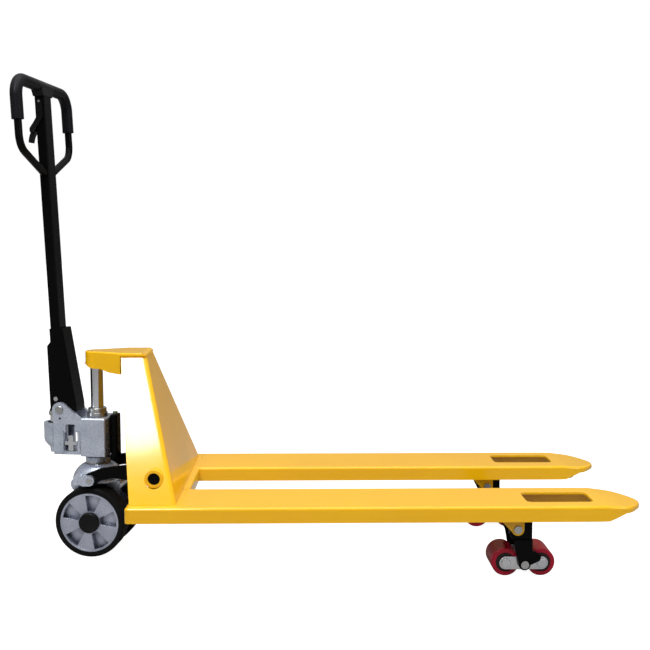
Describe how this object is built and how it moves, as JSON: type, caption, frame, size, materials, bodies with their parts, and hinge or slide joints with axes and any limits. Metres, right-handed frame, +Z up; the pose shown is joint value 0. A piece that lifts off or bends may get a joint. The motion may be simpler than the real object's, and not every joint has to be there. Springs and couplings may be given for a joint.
{
  "type": "hand pallet truck",
  "caption": "Hand pallet truck, raised: forks on an A-frame, hydraulic pump, steering wheels, loop draw-bar handle and tandem load rollers that swing down as it lifts.",
  "frame": {"origin": "on the ground, directly below the steering and piston axis", "axes": "+X horizontally towards the fork tips, +Y to the truck's left side, +Z up"},
  "size_m": [1.4875, 0.54, 1.1814],
  "materials": {
    "frame_paint": "gloss enamel",
    "copper_pin": "satin",
    "chrome_rod": "polished",
    "pump_paint": "semi-gloss enamel over casting",
    "machined_steel": "machined",
    "zinc_plate": "bright zinc plate",
    "bush_bronze": "satin",
    "black_paint": "gloss enamel",
    "grip_rubber": "matte",
    "black_plastic": "satin",
    "plug_green": "satin",
    "tyre_rubber": "matte",
    "wheel_alloy": "satin",
    "roller_pu": "satin",
    "roller_core": "matte",
    "tip_nylon": "matte"
  },
  "bodies": {
    "frame": {"head_frame": "frame_paint", "cap_bracket": "frame_paint", "cap_pin": "copper_pin", "cross_member": "frame_paint", "pivot_bosses": "frame_paint", "roller_lugs": "frame_paint", "roller_pivot_pins": "machined_steel", "tip_roller_pins": "machined_steel", "piston_rod": "chrome_rod", "left_fork": "frame_paint", "right_fork": "frame_paint"},
    "carrier": {"carrier": "pump_paint", "carrier_pins": "machined_steel", "carrier_bush": "bush_bronze"},
    "pump": {"thrust_bearing": "machined_steel", "axle_housing": "pump_paint", "wheel_axle": "machined_steel", "wheel_bearings": "machined_steel", "pump_body": "pump_paint", "gland_nut": "machined_steel", "reservoir_cover": "black_paint", "filler_plug": "plug_green", "handle_pivot_pin": "machined_steel"},
    "release_lever": {"release_lever": "zinc_plate"},
    "plunger": {"plunger": "chrome_rod"},
    "handle": {"handle_base": "black_paint", "base_bolts": "zinc_plate", "handle_shaft": "black_paint", "handle_loop": "black_paint", "handle_grips": "grip_rubber", "head_housing": "black_plastic", "lever_pin": "machined_steel"},
    "press_roller": {"press_roller": "machined_steel"},
    "control_lever": {"control_lever": "black_plastic"},
    "rocker": {"rocker": "black_paint", "rod_pins": "machined_steel"},
    "left_tip_roller": {"left_tip_roller": "tip_nylon"},
    "left_steer_wheel": {"left_wheel_hub": "wheel_alloy", "left_tyre": "tyre_rubber", "left_hub_cap": "black_plastic"},
    "left_push_rod": {"left_push_rod": "black_paint"},
    "left_bracket": {"left_roller_bracket": "black_paint"},
    "left_bogie_pin": {"left_bogie_pin": "machined_steel"},
    "left_bogie": {"left_bogie_links": "zinc_plate"},
    "left_rear_load_roller": {"left_rear_roller_core": "roller_core", "left_rear_roller_tread": "roller_pu"},
    "left_front_load_roller": {"left_front_roller_core": "roller_core", "left_front_roller_tread": "roller_pu"},
    "right_tip_roller": {"right_tip_roller": "tip_nylon"},
    "right_steer_wheel": {"right_wheel_hub": "wheel_alloy", "right_tyre": "tyre_rubber", "right_hub_cap": "black_plastic"},
    "right_push_rod": {"right_push_rod": "black_paint"},
    "right_bracket": {"right_roller_bracket": "black_paint"},
    "right_bogie_pin": {"right_bogie_pin": "machined_steel"},
    "right_bogie": {"right_bogie_links": "zinc_plate"},
    "right_rear_load_roller": {"right_rear_roller_core": "roller_core", "right_rear_roller_tread": "roller_pu"},
    "right_front_load_roller": {"right_front_roller_core": "roller_core", "right_front_roller_tread": "roller_pu"}
  },
  "joints": [
    {"name": "lowering", "type": "slide", "parent": "frame", "child": "carrier", "axis": [0, 0, 1], "range_m": [0, 0.1]},
    {"name": "steering", "type": "hinge", "parent": "carrier", "child": "pump", "pos_m": [0, 0, 0.2], "axis": [0, 0, 1], "range_deg": [-83.3, 96.7]},
    {"name": "handle_tilt", "type": "hinge", "parent": "pump", "child": "handle", "pos_m": [-0.08392, 0.00986, 0.365], "axis": [0.1167, 0.9932, 0], "range_deg": [-80, 0]},
    {"name": "control_lever_pivot", "type": "hinge", "parent": "handle", "child": "control_lever", "pos_m": [-0.12081, 0.01419, 1.13011], "axis": [0.1167, 0.9932, 0], "range_deg": [-5.3, 13.6]},
    {"name": "release_lever_pivot", "type": "hinge", "parent": "pump", "child": "release_lever", "pos_m": [-0.05661, 0.00665, 0.28], "axis": [0.1167, 0.9932, 0], "range_deg": [-4.3, 10.9]},
    {"name": "plunger_slide", "type": "slide", "parent": "pump", "child": "plunger", "axis": [0, 0, -1], "range_m": [0, 0.029]},
    {"name": "press_roller_spin", "type": "hinge", "parent": "handle", "child": "press_roller", "pos_m": [-0.11028, 0.01295, 0.35384], "axis": [0.1167, 0.9932, 0], "continuous": true},
    {"name": "rocker_swing", "type": "hinge", "parent": "frame", "child": "rocker", "pos_m": [0.175, 0, 0.235], "axis": [0, 1, 0], "range_deg": [0, 31.2]},
    {"name": "left_tip_roller_spin", "type": "hinge", "parent": "frame", "child": "left_tip_roller", "pos_m": [1.253, 0.1865, 0.157], "axis": [0, 1, 0], "continuous": true},
    {"name": "left_steer_wheel_spin", "type": "hinge", "parent": "pump", "child": "left_steer_wheel", "pos_m": [0.00642, 0.05462, 0.088], "axis": [0.1167, 0.9932, 0], "continuous": true},
    {"name": "left_push_rod_slide", "type": "slide", "parent": "frame", "child": "left_push_rod", "axis": [1, 0, 0], "range_m": [-0.0369, 0]},
    {"name": "left_bracket_swing", "type": "hinge", "parent": "frame", "child": "left_bracket", "pos_m": [1.028, 0.1865, 0.119], "axis": [0, 1, 0], "range_deg": [-87.1, 0]},
    {"name": "left_bogie_level", "type": "hinge", "parent": "left_bracket", "child": "left_bogie_pin", "pos_m": [1.0465, 0.1865, 0.033], "axis": [0, 1, 0], "range_deg": [0, 87.1]},
    {"name": "left_bogie_rock", "type": "hinge", "parent": "left_bogie_pin", "child": "left_bogie", "pos_m": [1.0465, 0.1865, 0.033], "axis": [0, 1, 0], "range_deg": [-8, 8]},
    {"name": "left_rear_roller_spin", "type": "hinge", "parent": "left_bogie", "child": "left_rear_load_roller", "pos_m": [1.0042, 0.1865, 0.033], "axis": [0, 1, 0], "continuous": true},
    {"name": "left_front_roller_spin", "type": "hinge", "parent": "left_bogie", "child": "left_front_load_roller", "pos_m": [1.0888, 0.1865, 0.033], "axis": [0, 1, 0], "continuous": true},
    {"name": "right_tip_roller_spin", "type": "hinge", "parent": "frame", "child": "right_tip_roller", "pos_m": [1.253, -0.1865, 0.157], "axis": [0, 1, 0], "continuous": true},
    {"name": "right_steer_wheel_spin", "type": "hinge", "parent": "pump", "child": "right_steer_wheel", "pos_m": [-0.00642, -0.05462, 0.088], "axis": [0.1167, 0.9932, 0], "continuous": true},
    {"name": "right_push_rod_slide", "type": "slide", "parent": "frame", "child": "right_push_rod", "axis": [1, 0, 0], "range_m": [-0.0369, 0]},
    {"name": "right_bracket_swing", "type": "hinge", "parent": "frame", "child": "right_bracket", "pos_m": [1.028, -0.1865, 0.119], "axis": [0, 1, 0], "range_deg": [-87.1, 0]},
    {"name": "right_bogie_level", "type": "hinge", "parent": "right_bracket", "child": "right_bogie_pin", "pos_m": [1.0465, -0.1865, 0.033], "axis": [0, 1, 0], "range_deg": [0, 87.1]},
    {"name": "right_bogie_rock", "type": "hinge", "parent": "right_bogie_pin", "child": "right_bogie", "pos_m": [1.0465, -0.1865, 0.033], "axis": [0, 1, 0], "range_deg": [-8, 8]},
    {"name": "right_rear_roller_spin", "type": "hinge", "parent": "right_bogie", "child": "right_rear_load_roller", "pos_m": [1.0042, -0.1865, 0.033], "axis": [0, 1, 0], "continuous": true},
    {"name": "right_front_roller_spin", "type": "hinge", "parent": "right_bogie", "child": "right_front_load_roller", "pos_m": [1.0888, -0.1865, 0.033], "axis": [0, 1, 0], "continuous": true}
  ],
  "couplings": [
    {"joint": "release_lever_pivot", "follows": "control_lever_pivot", "ratio": 0.8},
    {"joint": "plunger_slide", "follows": "handle_tilt", "m_per_rad": -0.02063},
    {"joint": "rocker_swing", "follows": "lowering", "rad_per_m": 5.4262},
    {"joint": "left_push_rod_slide", "follows": "lowering", "ratio": -0.368},
    {"joint": "left_bracket_swing", "follows": "lowering", "rad_per_m": -15.188},
    {"joint": "left_bogie_level", "follows": "lowering", "rad_per_m": 15.188},
    {"joint": "right_push_rod_slide", "follows": "lowering", "ratio": -0.368},
    {"joint": "right_bracket_swing", "follows": "lowering", "rad_per_m": -15.188},
    {"joint": "right_bogie_level", "follows": "lowering", "rad_per_m": 15.188}
  ]
}
